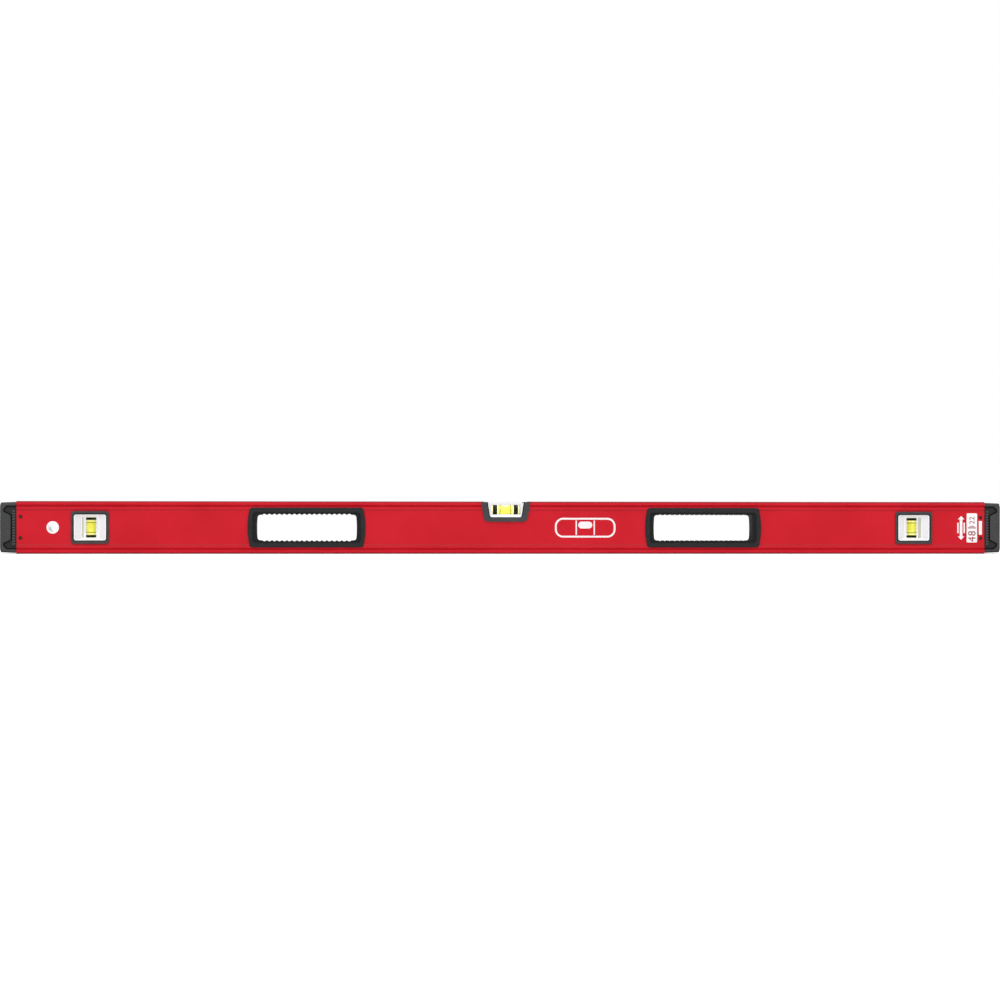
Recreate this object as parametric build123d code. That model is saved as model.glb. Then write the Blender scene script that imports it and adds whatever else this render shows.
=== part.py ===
from build123d import *
import math
import os

# A four-foot box-section spirit level, in millimetres.
# X runs along the level, Y from its front (-Y) to its back (+Y), and Z up.
# The origin is the centre of the lower measuring face.

# ---------------------------------------------------------------- whole level
overall_length = 1219.2  # over both end pads
beam_height = 63.5
beam_width = 28.0

# ---------------------------------------------------------------- beam section
edge_chamfer = 1.5
rail_height = 4.2  # full-width rail beside each measuring face
groove_depth = 2.0
groove_slope = 1.0
groove_floor = 0.6
band_recess = 1.1  # the raised band between groove and web, measured in from the rail
band_height = 3.2
step_slope = 1.1  # soft step from the band down to the web
web_recess = 1.7
web_wall = 2.1
face_wall = 3.6
cavity_radius = 2.0
stiffener_from_face = 9.0  # four low ribs run along the inside of the webs
stiffener_thickness = 1.6
stiffener_depth = 0.9

# ---------------------------------------------------------------- end caps
cap_length = 20.3  # from the beam's end to the outside of the end pad
cap_gap = 0.2  # between the beam's end and the cap
cap_inset = 1.0  # the cap is this much lower than the beam at top and bottom
cap_side_inset = 0.5
cap_draft = 0.75  # each side narrows by this much towards the end
cap_corner_radius = 3.0
cap_edge_radius = 1.2
cap_bar = 4.3  # rubber bar along the cap's top and bottom
cap_end_bar = 4.2  # rubber thickness at the cap's outer end
cap_corner_cut = 4.2  # the recess's slanting outer corners
cap_face_recess = 2.1  # the hard core lies this far under the rubber
pad_root_from_beam = 7.1  # the rubber side pad's narrow inner edge
pad_root_height = 29.0
pad_end_height = 37.4
outline_groove_width = 1.6
outline_groove_depth = 1.7
tooth_count = 13
tooth_pitch = 3.3
tooth_height = 1.8
tooth_length = 3.0
tooth_proud = 0.9
tooth_from_beam = 2.0
end_pad_proud = 1.2
end_pad_seat = 1.0
end_pad_width = 20.0
end_pad_inset = 1.9  # from the cap's top and bottom to the end pad
end_pad_radius = 4.0
end_pad_edge_radius = 0.8
plug_length = 24.0
plug_clearance = 0.25
plug_wall = 2.0

# ---------------------------------------------------------------- snap clips
snap_from_end = 4.8
snap_height_offset = 12.75  # above and below the beam's middle
snap_hole_radius = 2.25
snap_button_radius = 2.05
snap_button_sunk = 0.4  # the button's top lies this far under the web's face
snap_strip_width = 6.0
snap_strip_thickness = 0.7
snap_tip_from_end = 2.0
snap_bend_from_end = 12.0
snap_gap = 0.1
snap_shelf_gap = 0.3
snap_shelf_thickness = 1.2

# ---------------------------------------------------------------- hang hole
hang_from_end = 43.2
hang_bore_radius = 5.4
eyelet_wall = 1.1
eyelet_flange_radius = 7.5
eyelet_flange_thickness = 0.9
eyelet_clearance = 0.1
eyelet_mouth_radius = 0.7
eyelet_rim_radius = 0.5

# ---------------------------------------------------------------- hand holes
grip_from_centre = 241.5
grip_length = 142.4
grip_bow = 3.0  # the flange's ends bulge by this much
grip_corner_radius = 4.0
grip_below_band = 0.8  # band left showing above and below the flange
grip_flange_lap = 3.6  # flange beyond the hole cut in the beam
grip_flange_sunk = 0.1  # the flange lies this far inside the rail's face
grip_foot_clearance = 0.1  # between the flange's foot on the web and the band's step
grip_flange_edge_radius = 0.7
grip_cut_radius = 6.0
grip_clearance = 0.2
grip_wall = 2.0
grip_lap_length = 2.0
grip_lap_gap = 0.1
liner_end_thickness = 4.7
liner_side_thickness = 2.9
liner_sunk = 1.0  # the liner's faces lie this far inside the flanges'
liner_gap = 0.05
liner_corner_radius = 3.5
liner_bow = 0.9
scallop_pitch = 6.05
scallop_depth = 1.3
scallop_land = 0.7  # flat left at the tip between two scallops
scallop_end_gap = 3.0

# ---------------------------------------------------------------- vial windows
plumb_from_end = 87.6
bezel_from_step = 0.9  # web left showing above and below the bezel
bezel_width = 45.5
bezel_corner_radius = 3.6
bezel_proud = 1.4
bezel_edge_radius = 0.4
bezel_lap = 1.5  # bezel beyond the hole cut in the beam
window_rim = 3.5  # bezel around the clear opening, at its sides
window_sill = 4.2  # and above and below it
window_radius = 2.4
window_slope_side = 1.6
window_slope_sill = 1.9
window_cut_radius = 2.0
carrier_clearance = 0.2
lens_thickness = 0.8
lens_lap = 1.0
lens_clearance = 0.1
peg_radius = 0.6
peg_clearance = 0.05
peg_length = 3.0
peg_from_edge = 0.85
peg_offset = 14.0

# ---------------------------------------------------------------- vials
vial_gap = 0.2  # around each vial block in its carrier
vial_edge_radius = 0.5
bore_arch_radius = 500.0  # the bore's wall arches lengthwise, which centres the bubble
vial_end_wall = 1.3
plug_seat_step = 0.5
plug_seat_clearance = 0.05
band_thickness = 0.15
bubble_gap = 0.15

plumb_bore_radius = 6.3
plumb_wall_side = 4.7  # clear plastic beside the bore
plumb_wall_face = 1.7  # and in front of it and behind it
plumb_lip = 3.0  # the carrier's lip over each end of the block
plumb_band_width = 3.0
plumb_band_gap = 0.5  # from the lip's edge to the band
plumb_line_gap = 2.5  # from the band to the thin line
plumb_line_width = 0.9
plumb_bubble_film = 0.45  # liquid between the bubble and the bore
plumb_bubble_height = 1.4
plumb_bubble_edge = 0.6

centre_block_length = 37.4
centre_bore_radius = 6.05
centre_wall_face = 2.45
centre_wall_above = 0.95  # above and below the bore
centre_bore_from_top = 9.8
centre_band_offset = 12.75
centre_band_width = 5.2
centre_line_offset = 6.7
centre_line_width = 1.0
centre_bubble_film = 0.45
centre_bubble_sphere = 6.8
centre_bubble_rise = 2.5  # the sphere's centre above the bubble's top

# ---------------------------------------------------------------- centre window
saddle_top_width = 60.4
saddle_bottom_width = 51.6
saddle_depth = 24.6
saddle_corner_radius = 6.0
saddle_top_gap = 0.5  # under the top measuring face
saddle_lap = 3.2  # bezel beyond the notch cut in the beam
saddle_pocket_clearance = 0.15
mouth_top_width = 44.0
mouth_bottom_width = 37.9
mouth_depth = 18.9
mouth_radius = 2.2
mouth_slope = 1.2
bridge_thickness = 1.3  # the bezel's arms over the top of the carrier
bridge_gap = 0.05
sill_window_lip = 0.9  # the carrier's edge over the vial block

# ---------------------------------------------------------------- size label
label_from_end = 15.4
label_width = 13.0
label_height = 35.9
label_radius = 1.4
label_thickness = 0.12

# ---------------------------------------------------------------- worked out
beam_length = overall_length - 2 * cap_length
beam_end = beam_length / 2
half_width = beam_width / 2
mid_z = beam_height / 2
band_half = half_width - band_recess
web_half = half_width - web_recess
cavity_half = web_half - web_wall
cavity_half_height = mid_z - face_wall
groove_top = rail_height + 2 * groove_slope + groove_floor
band_top = groove_top + band_height
web_start = band_top + step_slope
beyond = 5.0  # how far a cutting tool runs past what it cuts

cap_half_height = mid_z - cap_inset
cap_half_width = half_width - cap_side_inset
cap_body_length = cap_length - end_pad_proud
core_half_width = cap_half_width - cap_face_recess
core_half_height = cap_half_height - cap_bar
core_head_length = cap_body_length - cap_end_bar + end_pad_seat
plug_half_width = cavity_half - plug_clearance
plug_half_height = cavity_half_height - plug_clearance
plug_inner_half = plug_half_width - plug_wall
snap_heights = (mid_z - snap_height_offset, mid_z + snap_height_offset)

grip_height = beam_height - 2 * (groove_top + grip_below_band)
grip_cut_length = grip_length - 2 * grip_flange_lap
grip_cut_height = grip_height - 2 * grip_flange_lap
grip_face = half_width - grip_flange_sunk
liner_face = grip_face - liner_sunk
sleeve_length = grip_cut_length - 2 * grip_clearance
sleeve_height = grip_cut_height - 2 * grip_clearance
hand_length = sleeve_length - 2 * (grip_wall + liner_end_thickness)
hand_height = sleeve_height - 2 * (grip_wall + liner_side_thickness - scallop_depth)

bezel_height = beam_height - 2 * (web_start + bezel_from_step)
bezel_face = web_half + bezel_proud
window_width = bezel_width - 2 * window_rim
window_height = bezel_height - 2 * window_sill
window_cut_width = bezel_width - 2 * bezel_lap
window_cut_height = bezel_height - 2 * bezel_lap
carrier_width = window_cut_width - 2 * carrier_clearance
carrier_height = window_cut_height - 2 * carrier_clearance
plumb_block_height = window_height - 2 * vial_gap
plumb_block_width = 2 * (plumb_bore_radius + plumb_wall_side)
plumb_block_depth = 2 * (plumb_bore_radius + plumb_wall_face)
plumb_bubble_radius = plumb_bore_radius - plumb_bubble_film
centre_block_depth = 2 * (centre_bore_radius + centre_wall_face)
centre_block_height = 2 * (centre_bore_radius + centre_wall_above)
plumb_x = beam_end - plumb_from_end
hang_x = hang_from_end - beam_end
centre_bore_z = beam_height - centre_bore_from_top

# The lens lies on the carrier, so the bezel's lip ends where the lens begins.
lens_face = web_half + lens_thickness


# ---------------------------------------------------------------- helpers
def slab(outline, y_from, y_to):
    """The solid of an XZ outline between two depths."""
    return extrude(Plane.XZ.offset(-y_from) * outline, amount=y_to - y_from, dir=(0, 1, 0))


def through(outline):
    """A cutting tool that runs right through the beam."""
    return slab(outline, -(half_width + beyond), half_width + beyond)


def rounded(length, height, radius, x=0.0, z=mid_z):
    """A rounded rectangle in the XZ plane."""
    return Pos(x, z) * RectangleRounded(length, height, radius)


def bowed(length, height, bow, radius, x):
    """A rounded rectangle whose two ends bow outwards."""
    end, top = length / 2 - bow, height / 2
    sides = [
        Line((-end, top), (end, top)),
        ThreePointArc((end, top), (end + bow, 0), (end, -top)),
        Line((end, -top), (-end, -top)),
        ThreePointArc((-end, -top), (-end - bow, 0), (-end, top)),
    ]
    face = make_face(sides)
    return Pos(x, mid_z) * fillet(face.vertices(), radius)


def hanging(top_width, bottom_width, depth, radius, high):
    """A trapezium that hangs from the top face, cut off at a height, with rounded lower corners."""
    slope = (top_width - bottom_width) / 2 / depth
    top_half = top_width / 2 + slope * (high - beam_height)
    bottom_half = bottom_width / 2
    low = beam_height - depth
    corners = [(-top_half, high), (-bottom_half, low), (bottom_half, low), (top_half, high)]
    face = make_face(Polyline(*corners, close=True))
    return fillet(face.vertices().sort_by(Axis.Y)[:2], radius)


def funnel(near, far, y_near, y_far):
    """A tapering opening from one outline to another."""
    return loft([Plane.XZ.offset(-y_near) * near, Plane.XZ.offset(-y_far) * far])


def peg(x, z, radius, y_from, y_to):
    """A round peg or peg hole along Y."""
    return slab(Pos(x, z) * Circle(radius), y_from, y_to)


def turned_back(part):
    """The same piece on the level's back."""
    return mirror(part, about=Plane.XZ)


def on_left(part):
    """The same piece on the level's left."""
    return mirror(part, about=Plane.YZ)


def save(name, part):
    """Writes one node, in one solid or a group of them."""
    solids = part.solids()
    shape = solids[0] if len(solids) == 1 else Compound(children=list(solids))
    shape.label = name
    export_step(shape, f"parts/{name}.step")
    print(name, len(solids), round(sum(s.volume for s in solids)))


# ---------------------------------------------------------------- beam
def beam_outline():
    """The section's outside: two rails, a groove and a band beside each, and a flat web."""
    lower = [
        (half_width - edge_chamfer, 0),
        (half_width, edge_chamfer),
        (half_width, rail_height),
        (half_width - groove_depth, rail_height + groove_slope),
        (half_width - groove_depth, rail_height + groove_slope + groove_floor),
        (band_half, groove_top),
        (band_half, band_top),
        (web_half, web_start),
    ]
    right = lower + [(y, beam_height - z) for y, z in reversed(lower)]
    left = [(-y, z) for y, z in reversed(right)]
    return make_face(Polyline(*right, *left, close=True))


def stiffener(y_sign, z):
    """One low rib on the inside of a web."""
    width = 2 * stiffener_depth
    return Pos(y_sign * cavity_half, z) * Rectangle(width, stiffener_thickness)


def beam_section():
    """The whole section, hollow, with its four inner ribs."""
    cavity = Pos(0, mid_z) * RectangleRounded(2 * cavity_half, 2 * cavity_half_height, cavity_radius)
    for z in (stiffener_from_face, beam_height - stiffener_from_face):
        for y_sign in (-1, 1):
            cavity -= stiffener(y_sign, z)
    return beam_outline() - cavity


def notch(grow, high=beam_height + beyond):
    """The centre bezel's outline, grown or shrunk all round."""
    return hanging(
        saddle_top_width + 2 * grow,
        saddle_bottom_width + 2 * grow,
        saddle_depth + grow,
        saddle_corner_radius + grow,
        high,
    )


def build_beam():
    """The painted aluminium extrusion with every hole that is machined in it."""
    section = beam_section()
    beam = extrude(Plane.YZ * section, amount=beam_end, both=True)
    holes = through(notch(-saddle_lap))
    pocket = slab(notch(saddle_pocket_clearance), web_half, half_width + beyond)
    holes += pocket
    holes += turned_back(pocket)
    for side in (-1, 1):
        holes += through(rounded(grip_cut_length, grip_cut_height, grip_cut_radius, side * grip_from_centre))
        holes += through(rounded(window_cut_width, window_cut_height, window_cut_radius, side * plumb_x))
        for z in snap_heights:
            holes += through(Pos(side * (beam_end - snap_from_end), z) * Circle(snap_hole_radius))
    hang_cut_radius = hang_bore_radius + eyelet_wall + eyelet_clearance
    holes += through(Pos(hang_x, mid_z) * Circle(hang_cut_radius))
    return beam - holes


def build_eyelet():
    """The bare metal tube, flanged at both ends, that lines the hang hole."""
    tube_radius = hang_bore_radius + eyelet_wall
    outer = web_half + eyelet_flange_thickness
    corners = [
        (hang_bore_radius, -outer),
        (eyelet_flange_radius, -outer),
        (eyelet_flange_radius, -web_half),
        (tube_radius, -web_half),
        (tube_radius, web_half),
        (eyelet_flange_radius, web_half),
        (eyelet_flange_radius, outer),
        (hang_bore_radius, outer),
    ]
    face = make_face(Polyline(*corners, close=True))
    ends = [v for v in face.vertices() if abs(abs(v.Y) - outer) < 0.01]
    mouths = [v for v in ends if v.X < tube_radius]
    face = fillet(mouths, eyelet_mouth_radius)
    ends = [v for v in face.vertices() if abs(abs(v.Y) - outer) < 0.01]
    rims = [v for v in ends if v.X > eyelet_flange_radius - 0.01]
    face = fillet(rims, eyelet_rim_radius)
    return Pos(hang_x, 0, mid_z) * revolve(face, Axis.Y)


# ---------------------------------------------------------------- end caps
def cap_outline(shrink):
    """The cap's section across the level."""
    width = 2 * (cap_half_width - shrink)
    height = 2 * (cap_half_height - shrink)
    return Pos(0, mid_z) * RectangleRounded(width, height, cap_corner_radius)


def core_head_outline(x_near):
    """The recess in the cap's side, with slanting outer corners."""
    far = beam_end + core_head_length
    high = core_half_height
    corners = [
        (x_near, mid_z + high),
        (far - cap_corner_cut, mid_z + high),
        (far, mid_z + high - cap_corner_cut),
        (far, mid_z - high + cap_corner_cut),
        (far - cap_corner_cut, mid_z - high),
        (x_near, mid_z - high),
    ]
    return make_face(Polyline(*corners, close=True))


def side_pad_outline():
    """The rubber pad on the cap's side, wide at the end and narrow towards the beam."""
    near = beam_end + pad_root_from_beam
    far = beam_end + core_head_length + beyond
    rise = (pad_end_height - pad_root_height) / 2 / (core_head_length - pad_root_from_beam)
    far_half = pad_root_height / 2 + rise * (far - near)
    corners = [
        (near, mid_z + pad_root_height / 2),
        (far, mid_z + far_half),
        (far, mid_z - far_half),
        (near, mid_z - pad_root_height / 2),
    ]
    return make_face(Polyline(*corners, close=True))


def cap_side_groove():
    """The narrow channel round the recess and round the pad, in the core's face."""
    head = core_head_outline(beam_end + cap_gap)
    pad = side_pad_outline()
    rim = head - offset(core_head_outline(beam_end - beyond), -outline_groove_width)
    around_pad = (offset(pad, outline_groove_width) & head) - pad
    return (rim - pad) + around_pad


def end_pad_outline(grow):
    """The pad on the cap's end face, across the level."""
    height = 2 * (cap_half_height - cap_draft - end_pad_inset + grow)
    return Pos(0, mid_z) * RectangleRounded(end_pad_width + 2 * grow, height, end_pad_radius + grow)


def build_cap_bumper():
    """The rubber frame moulded round the cap's core, with a pad on each side."""
    near = beam_end + cap_gap
    far = beam_end + cap_body_length
    body = loft([Plane.YZ.offset(near) * cap_outline(0), Plane.YZ.offset(far) * cap_outline(cap_draft)])
    body = fillet(body.faces().sort_by(Axis.X)[-1].edges(), cap_edge_radius)
    head = core_head_outline(near - beyond)
    body -= slab(head, -core_half_width, core_half_width)
    recess = head - side_pad_outline()
    body -= slab(recess, -(half_width + beyond), -core_half_width)
    body -= slab(recess, core_half_width, half_width + beyond)
    seat = end_pad_outline(lens_clearance / 2)
    body -= extrude(Plane.YZ.offset(far - end_pad_seat) * seat, amount=beyond, dir=(1, 0, 0))
    return body


def build_end_pad():
    """The anti-slip pad set into the cap's end face."""
    near = beam_end + cap_body_length - end_pad_seat
    pad = extrude(
        Plane.YZ.offset(near) * end_pad_outline(0),
        amount=end_pad_seat + end_pad_proud,
        dir=(1, 0, 0),
    )
    return fillet(pad.faces().sort_by(Axis.X)[-1].edges(), end_pad_edge_radius)


def cap_teeth():
    """The row of small teeth on each side of the core, next to the beam."""
    x = beam_end + tooth_from_beam + tooth_length / 2
    face = core_half_width + tooth_proud
    teeth = None
    for index in range(tooth_count):
        z = mid_z + (index - (tooth_count - 1) / 2) * tooth_pitch
        tooth = slab(Pos(x, z) * Rectangle(tooth_length, tooth_height), -face, face)
        teeth = tooth if teeth is None else teeth + tooth
    return teeth


def build_cap_core():
    """The hard core: the head that the rubber is moulded on, and the plug inside the beam."""
    near = beam_end + cap_gap
    head = slab(core_head_outline(near), -core_half_width, core_half_width)
    head += cap_teeth()
    groove = cap_side_groove()
    floor = core_half_width - outline_groove_depth
    head -= slab(groove, -(half_width + beyond), -floor)
    head -= slab(groove, floor, half_width + beyond)

    plug_start = beam_end - plug_length
    section = Pos(0, mid_z) * RectangleRounded(2 * plug_half_width, 2 * plug_half_height, cavity_radius)
    inner_height = plug_half_height - plug_wall
    hollow = Pos(0, mid_z) * Rectangle(2 * plug_inner_half, 2 * inner_height)
    slot = Rectangle(2 * stiffener_depth, stiffener_thickness + 2 * plug_clearance)
    for z in (stiffener_from_face, beam_height - stiffener_from_face):
        for y_sign in (-1, 1):
            section -= Pos(y_sign * plug_half_width, z) * slot
    plug = extrude(Plane.YZ.offset(plug_start) * section, amount=near - plug_start, dir=(1, 0, 0))
    plug -= extrude(Plane.YZ.offset(plug_start) * hollow, amount=plug_length, dir=(1, 0, 0))

    shelf_reach = snap_strip_width / 2 + snap_shelf_gap + snap_shelf_thickness / 2
    for z in snap_heights:
        for side in (-1, 1):
            shelf = Pos(beam_end - plug_length / 2, 0, z + side * shelf_reach) * Box(
                plug_length, 2 * plug_inner_half, snap_shelf_thickness
            )
            plug += shelf
        hole_radius = snap_hole_radius + snap_gap
        plug -= through(Pos(beam_end - snap_from_end, z) * Circle(hole_radius))
    return head + plug


def build_snap_clips():
    """Two bent spring strips, each with a button on both legs that springs into the beam's holes."""
    outer = plug_inner_half - snap_gap
    inner = outer - snap_strip_thickness
    bend_x = beam_end - snap_bend_from_end
    tip_x = beam_end - snap_tip_from_end
    bend = Circle(outer) - Circle(inner)
    bend -= Pos(outer, 0) * Rectangle(2 * outer, 3 * outer)
    strip = Pos(bend_x, 0) * bend
    leg_length = tip_x - bend_x
    for side in (-1, 1):
        leg_y = side * (outer + inner) / 2
        strip += Pos((bend_x + tip_x) / 2, leg_y) * Rectangle(leg_length, snap_strip_thickness)
    button_top = web_half - snap_button_sunk
    clips = []
    for z in snap_heights:
        lower_edge = Plane.XY.offset(z - snap_strip_width / 2)
        clip = extrude(lower_edge * strip, amount=snap_strip_width, dir=(0, 0, 1))
        button = peg(beam_end - snap_from_end, z, snap_button_radius, inner, button_top)
        crown = button.faces().sort_by(Axis.Y)[-1].edges()
        button = fillet(crown, snap_button_radius / 2)
        clip += button
        clip += turned_back(button)
        clips.append(clip.solids()[0])
    return Compound(children=clips)


# ---------------------------------------------------------------- hand grips
def hand_opening(x):
    """The scalloped opening for the fingers."""
    clear_height = hand_height - 2 * scallop_depth
    opening = bowed(hand_length, clear_height, liner_bow, liner_corner_radius, x)
    chord = scallop_pitch - scallop_land
    radius = (chord**2 / 4 + scallop_depth**2) / (2 * scallop_depth)
    centre_z = clear_height / 2 + scallop_depth - radius
    room = hand_length - 2 * (liner_corner_radius + liner_bow) + chord - 2 * scallop_end_gap
    count = int(room // scallop_pitch)
    for index in range(count):
        offset_x = (index - (count - 1) / 2) * scallop_pitch
        for side in (-1, 1):
            opening += Pos(x + offset_x, mid_z + side * centre_z) * Circle(radius)
    return opening


def build_grip_shell(x, is_front):
    """One dark shell: a flange on the beam's face and a sleeve that meets the other shell's."""
    outline = bowed(grip_length, grip_height, grip_bow, grip_corner_radius, x)
    flange = slab(outline, band_half, grip_face)
    flange = fillet(flange.faces().sort_by(Axis.Y)[-1].edges(), grip_flange_edge_radius)
    foot_height = beam_height - 2 * (web_start + grip_foot_clearance)
    foot_outline = outline & (Pos(x, mid_z) * Rectangle(grip_length, foot_height))
    flange += slab(foot_outline, web_half, band_half)
    sleeve_radius = grip_cut_radius - grip_clearance
    outer = rounded(sleeve_length, sleeve_height, sleeve_radius, x)
    middle = rounded(
        sleeve_length - grip_wall, sleeve_height - grip_wall, sleeve_radius - grip_wall / 2, x
    )
    inner = rounded(
        sleeve_length - 2 * grip_wall, sleeve_height - 2 * grip_wall, sleeve_radius - grip_wall, x
    )
    half_lap = grip_lap_length / 2
    if is_front:
        tongue = outer - middle
    else:
        seat = rounded(
            sleeve_length - grip_wall - 2 * grip_lap_gap,
            sleeve_height - grip_wall - 2 * grip_lap_gap,
            sleeve_radius - grip_wall / 2 - grip_lap_gap,
            x,
        )
        tongue = seat - inner
    shell = flange + slab(outer, half_lap, web_half + band_recess)
    shell -= slab(inner, half_lap, half_width + beyond)
    shell += slab(tongue, -half_lap + grip_lap_gap, half_lap)
    return turned_back(shell) if is_front else shell


def build_grip_liner(x):
    """The soft scalloped sleeve that the fingers close on."""
    length = sleeve_length - 2 * (grip_wall + liner_gap)
    height = sleeve_height - 2 * (grip_wall + liner_gap)
    radius = grip_cut_radius - grip_clearance - grip_wall - liner_gap
    ring = rounded(length, height, radius, x) - hand_opening(x)
    return slab(ring, -liner_face, liner_face)


# ---------------------------------------------------------------- vials
def barrel(radius, length):
    """A vial's bore along X. Its wall arches, so that it is widest at the middle."""
    half = length / 2
    drop = bore_arch_radius - math.sqrt(bore_arch_radius**2 - half**2)
    profile = make_face(
        [
            Line((-half, 0), (half, 0)),
            Line((half, 0), (half, radius - drop)),
            ThreePointArc((half, radius - drop), (0, radius), (-half, radius - drop)),
            Line((-half, radius - drop), (-half, 0)),
        ]
    )
    return revolve(profile, Axis.X)


def bands(radius, length, rings):
    """Thin rings lining the bore: each is its centre's distance from the middle and its width."""
    wall = barrel(radius, length) - barrel(radius - band_thickness, length + beyond)
    found = []
    for distance, width in rings:
        for side in (-1, 1):
            cutter = Pos(side * distance, 0, 0) * Box(width, 4 * radius, 4 * radius)
            found.append((wall & cutter).solids()[0])
    return Compound(children=found)


def vial(length, depth, height, radius, rings, bubble, cavity):
    """A clear block with its bore along X, the end plug, the rings, the liquid and the bubble."""
    bore_length = length - 2 * vial_end_wall
    bore = barrel(radius, bore_length)
    block = fillet(Box(length, depth, height).edges(), vial_edge_radius)
    seat_radius = radius + plug_seat_step / 2
    seat = Pos(bore_length / 2 + beyond / 2, 0, 0) * Rot(0, 90, 0) * Cylinder(seat_radius, beyond)
    block = block - bore - seat
    plug_radius = seat_radius - plug_seat_clearance
    plug = Pos(length / 2 - vial_end_wall / 2, 0, 0) * Rot(0, 90, 0) * Cylinder(plug_radius, vial_end_wall)
    lines = bands(radius, bore_length, rings)
    liquid = bore - cavity
    for ring in lines.solids():
        liquid -= ring
    return {"vial": block, "vial_plug": plug, "level_bands": lines, "liquid": liquid, "bubble": bubble}


def centre_vial():
    """The level vial: its bubble lies under the top of the bore."""
    bore_length = centre_block_length - 2 * vial_end_wall
    top = centre_bore_radius - centre_bubble_film
    middle = Pos(0, 0, top + centre_bubble_rise)
    bubble = barrel(top, bore_length) & (middle * Sphere(centre_bubble_sphere))
    cavity = barrel(top + bubble_gap, bore_length) & (middle * Sphere(centre_bubble_sphere + bubble_gap))
    rings = [(centre_band_offset, centre_band_width), (centre_line_offset, centre_line_width)]
    parts = vial(
        centre_block_length,
        centre_block_depth,
        centre_block_height,
        centre_bore_radius,
        rings,
        bubble,
        cavity,
    )
    return {name: Pos(0, 0, centre_bore_z) * part for name, part in parts.items()}


def plumb_vial(x):
    """A plumb vial, standing upright: while the level lies flat its bubble is at the top end."""
    bore_length = plumb_block_height - 2 * vial_end_wall
    bubble_x = bore_length / 2 - bubble_gap - plumb_bubble_height / 2 - band_thickness

    def disc(grow):
        height = plumb_bubble_height + 2 * grow
        body = Cylinder(plumb_bubble_radius + grow, height)
        body = fillet(body.edges().filter_by(GeomType.CIRCLE), plumb_bubble_edge + grow)
        return Pos(bubble_x, 0, 0) * Rot(0, 90, 0) * body

    band_offset = window_height / 2 - plumb_lip - plumb_band_gap - plumb_band_width / 2
    line_offset = band_offset - plumb_band_width / 2 - plumb_line_gap - plumb_line_width / 2
    rings = [(band_offset, plumb_band_width), (line_offset, plumb_line_width)]
    parts = vial(
        plumb_block_height,
        plumb_block_depth,
        plumb_block_width,
        plumb_bore_radius,
        rings,
        disc(0),
        disc(bubble_gap),
    )
    place = Pos(x, 0, mid_z) * Rot(0, -90, 0)
    return {name: place * part for name, part in parts.items()}


# ---------------------------------------------------------------- plumb windows
def plumb_lens_outline(x, grow):
    """The clear window's outline."""
    lap = 2 * (lens_lap + grow)
    return rounded(window_width + lap, window_height + lap, window_radius + lens_lap, x)


def plumb_pegs(x):
    """Where the bezel's pegs enter the carrier."""
    z_offset = carrier_height / 2 - peg_from_edge
    return [(x + sx * peg_offset, mid_z + sz * z_offset) for sx in (-1, 1) for sz in (-1, 1)]


def build_plumb_bezel(x):
    """The dark frame on the back face, with a sloping inner edge and four pegs."""
    bezel = slab(rounded(bezel_width, bezel_height, bezel_corner_radius, x), web_half, bezel_face)
    bezel = fillet(bezel.faces().sort_by(Axis.Y)[-1].edges(), bezel_edge_radius)
    opening = rounded(window_width, window_height, window_radius, x)
    wide = rounded(
        window_width + 2 * window_slope_side,
        window_height + 2 * window_slope_sill,
        window_radius + window_slope_side,
        x,
    )
    bezel -= through(opening)
    bezel -= funnel(opening, wide, lens_face, bezel_face)
    bezel -= slab(plumb_lens_outline(x, lens_clearance), web_half - beyond, lens_face)
    for peg_x, peg_z in plumb_pegs(x):
        bezel += peg(peg_x, peg_z, peg_radius, web_half - peg_length, web_half)
    return bezel


def build_plumb_lens(x):
    """The clear window behind the back bezel."""
    return slab(plumb_lens_outline(x, 0), web_half, lens_face)


def build_plumb_carrier(x):
    """The back half of the white carrier that holds the vial block."""
    block_face = plumb_block_depth / 2 + vial_gap
    radius = window_cut_radius - carrier_clearance
    carrier = slab(rounded(carrier_width, carrier_height, radius, x), 0, web_half)
    mouth = rounded(window_width, window_height, window_radius, x)
    window = rounded(plumb_block_width - 2 * sill_window_lip, window_height - 2 * plumb_lip, 1.0, x)
    wall_face = block_face + sill_window_lip
    carrier -= funnel(window, mouth, wall_face, web_half)
    carrier -= slab(window, 0, wall_face)
    chamber = Pos(x, mid_z) * Rectangle(plumb_block_width + 2 * vial_gap, window_height)
    carrier -= slab(chamber, -beyond, block_face)
    for peg_x, peg_z in plumb_pegs(x):
        hole_radius = peg_radius + peg_clearance
        carrier -= peg(peg_x, peg_z, hole_radius, web_half - peg_length - peg_clearance, web_half + beyond)
    return carrier


# ---------------------------------------------------------------- centre window
def mouth_outline(grow, high=beam_height + beyond):
    """The centre window's clear opening."""
    return hanging(
        mouth_top_width + 2 * grow,
        mouth_bottom_width + 2 * grow,
        mouth_depth + grow,
        mouth_radius + grow,
        high,
    )


def centre_pegs():
    """Where the centre bezel's pegs enter the carrier: beside the lens, near its top and its foot."""
    spots = []
    for depth in (mouth_depth * 0.25, mouth_depth * 0.8):
        narrowing = (mouth_top_width - mouth_bottom_width) / 2 * depth / mouth_depth
        x = mouth_top_width / 2 - narrowing + lens_lap + 2 * peg_radius
        spots += [(-x, beam_height - depth), (x, beam_height - depth)]
    return spots


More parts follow.
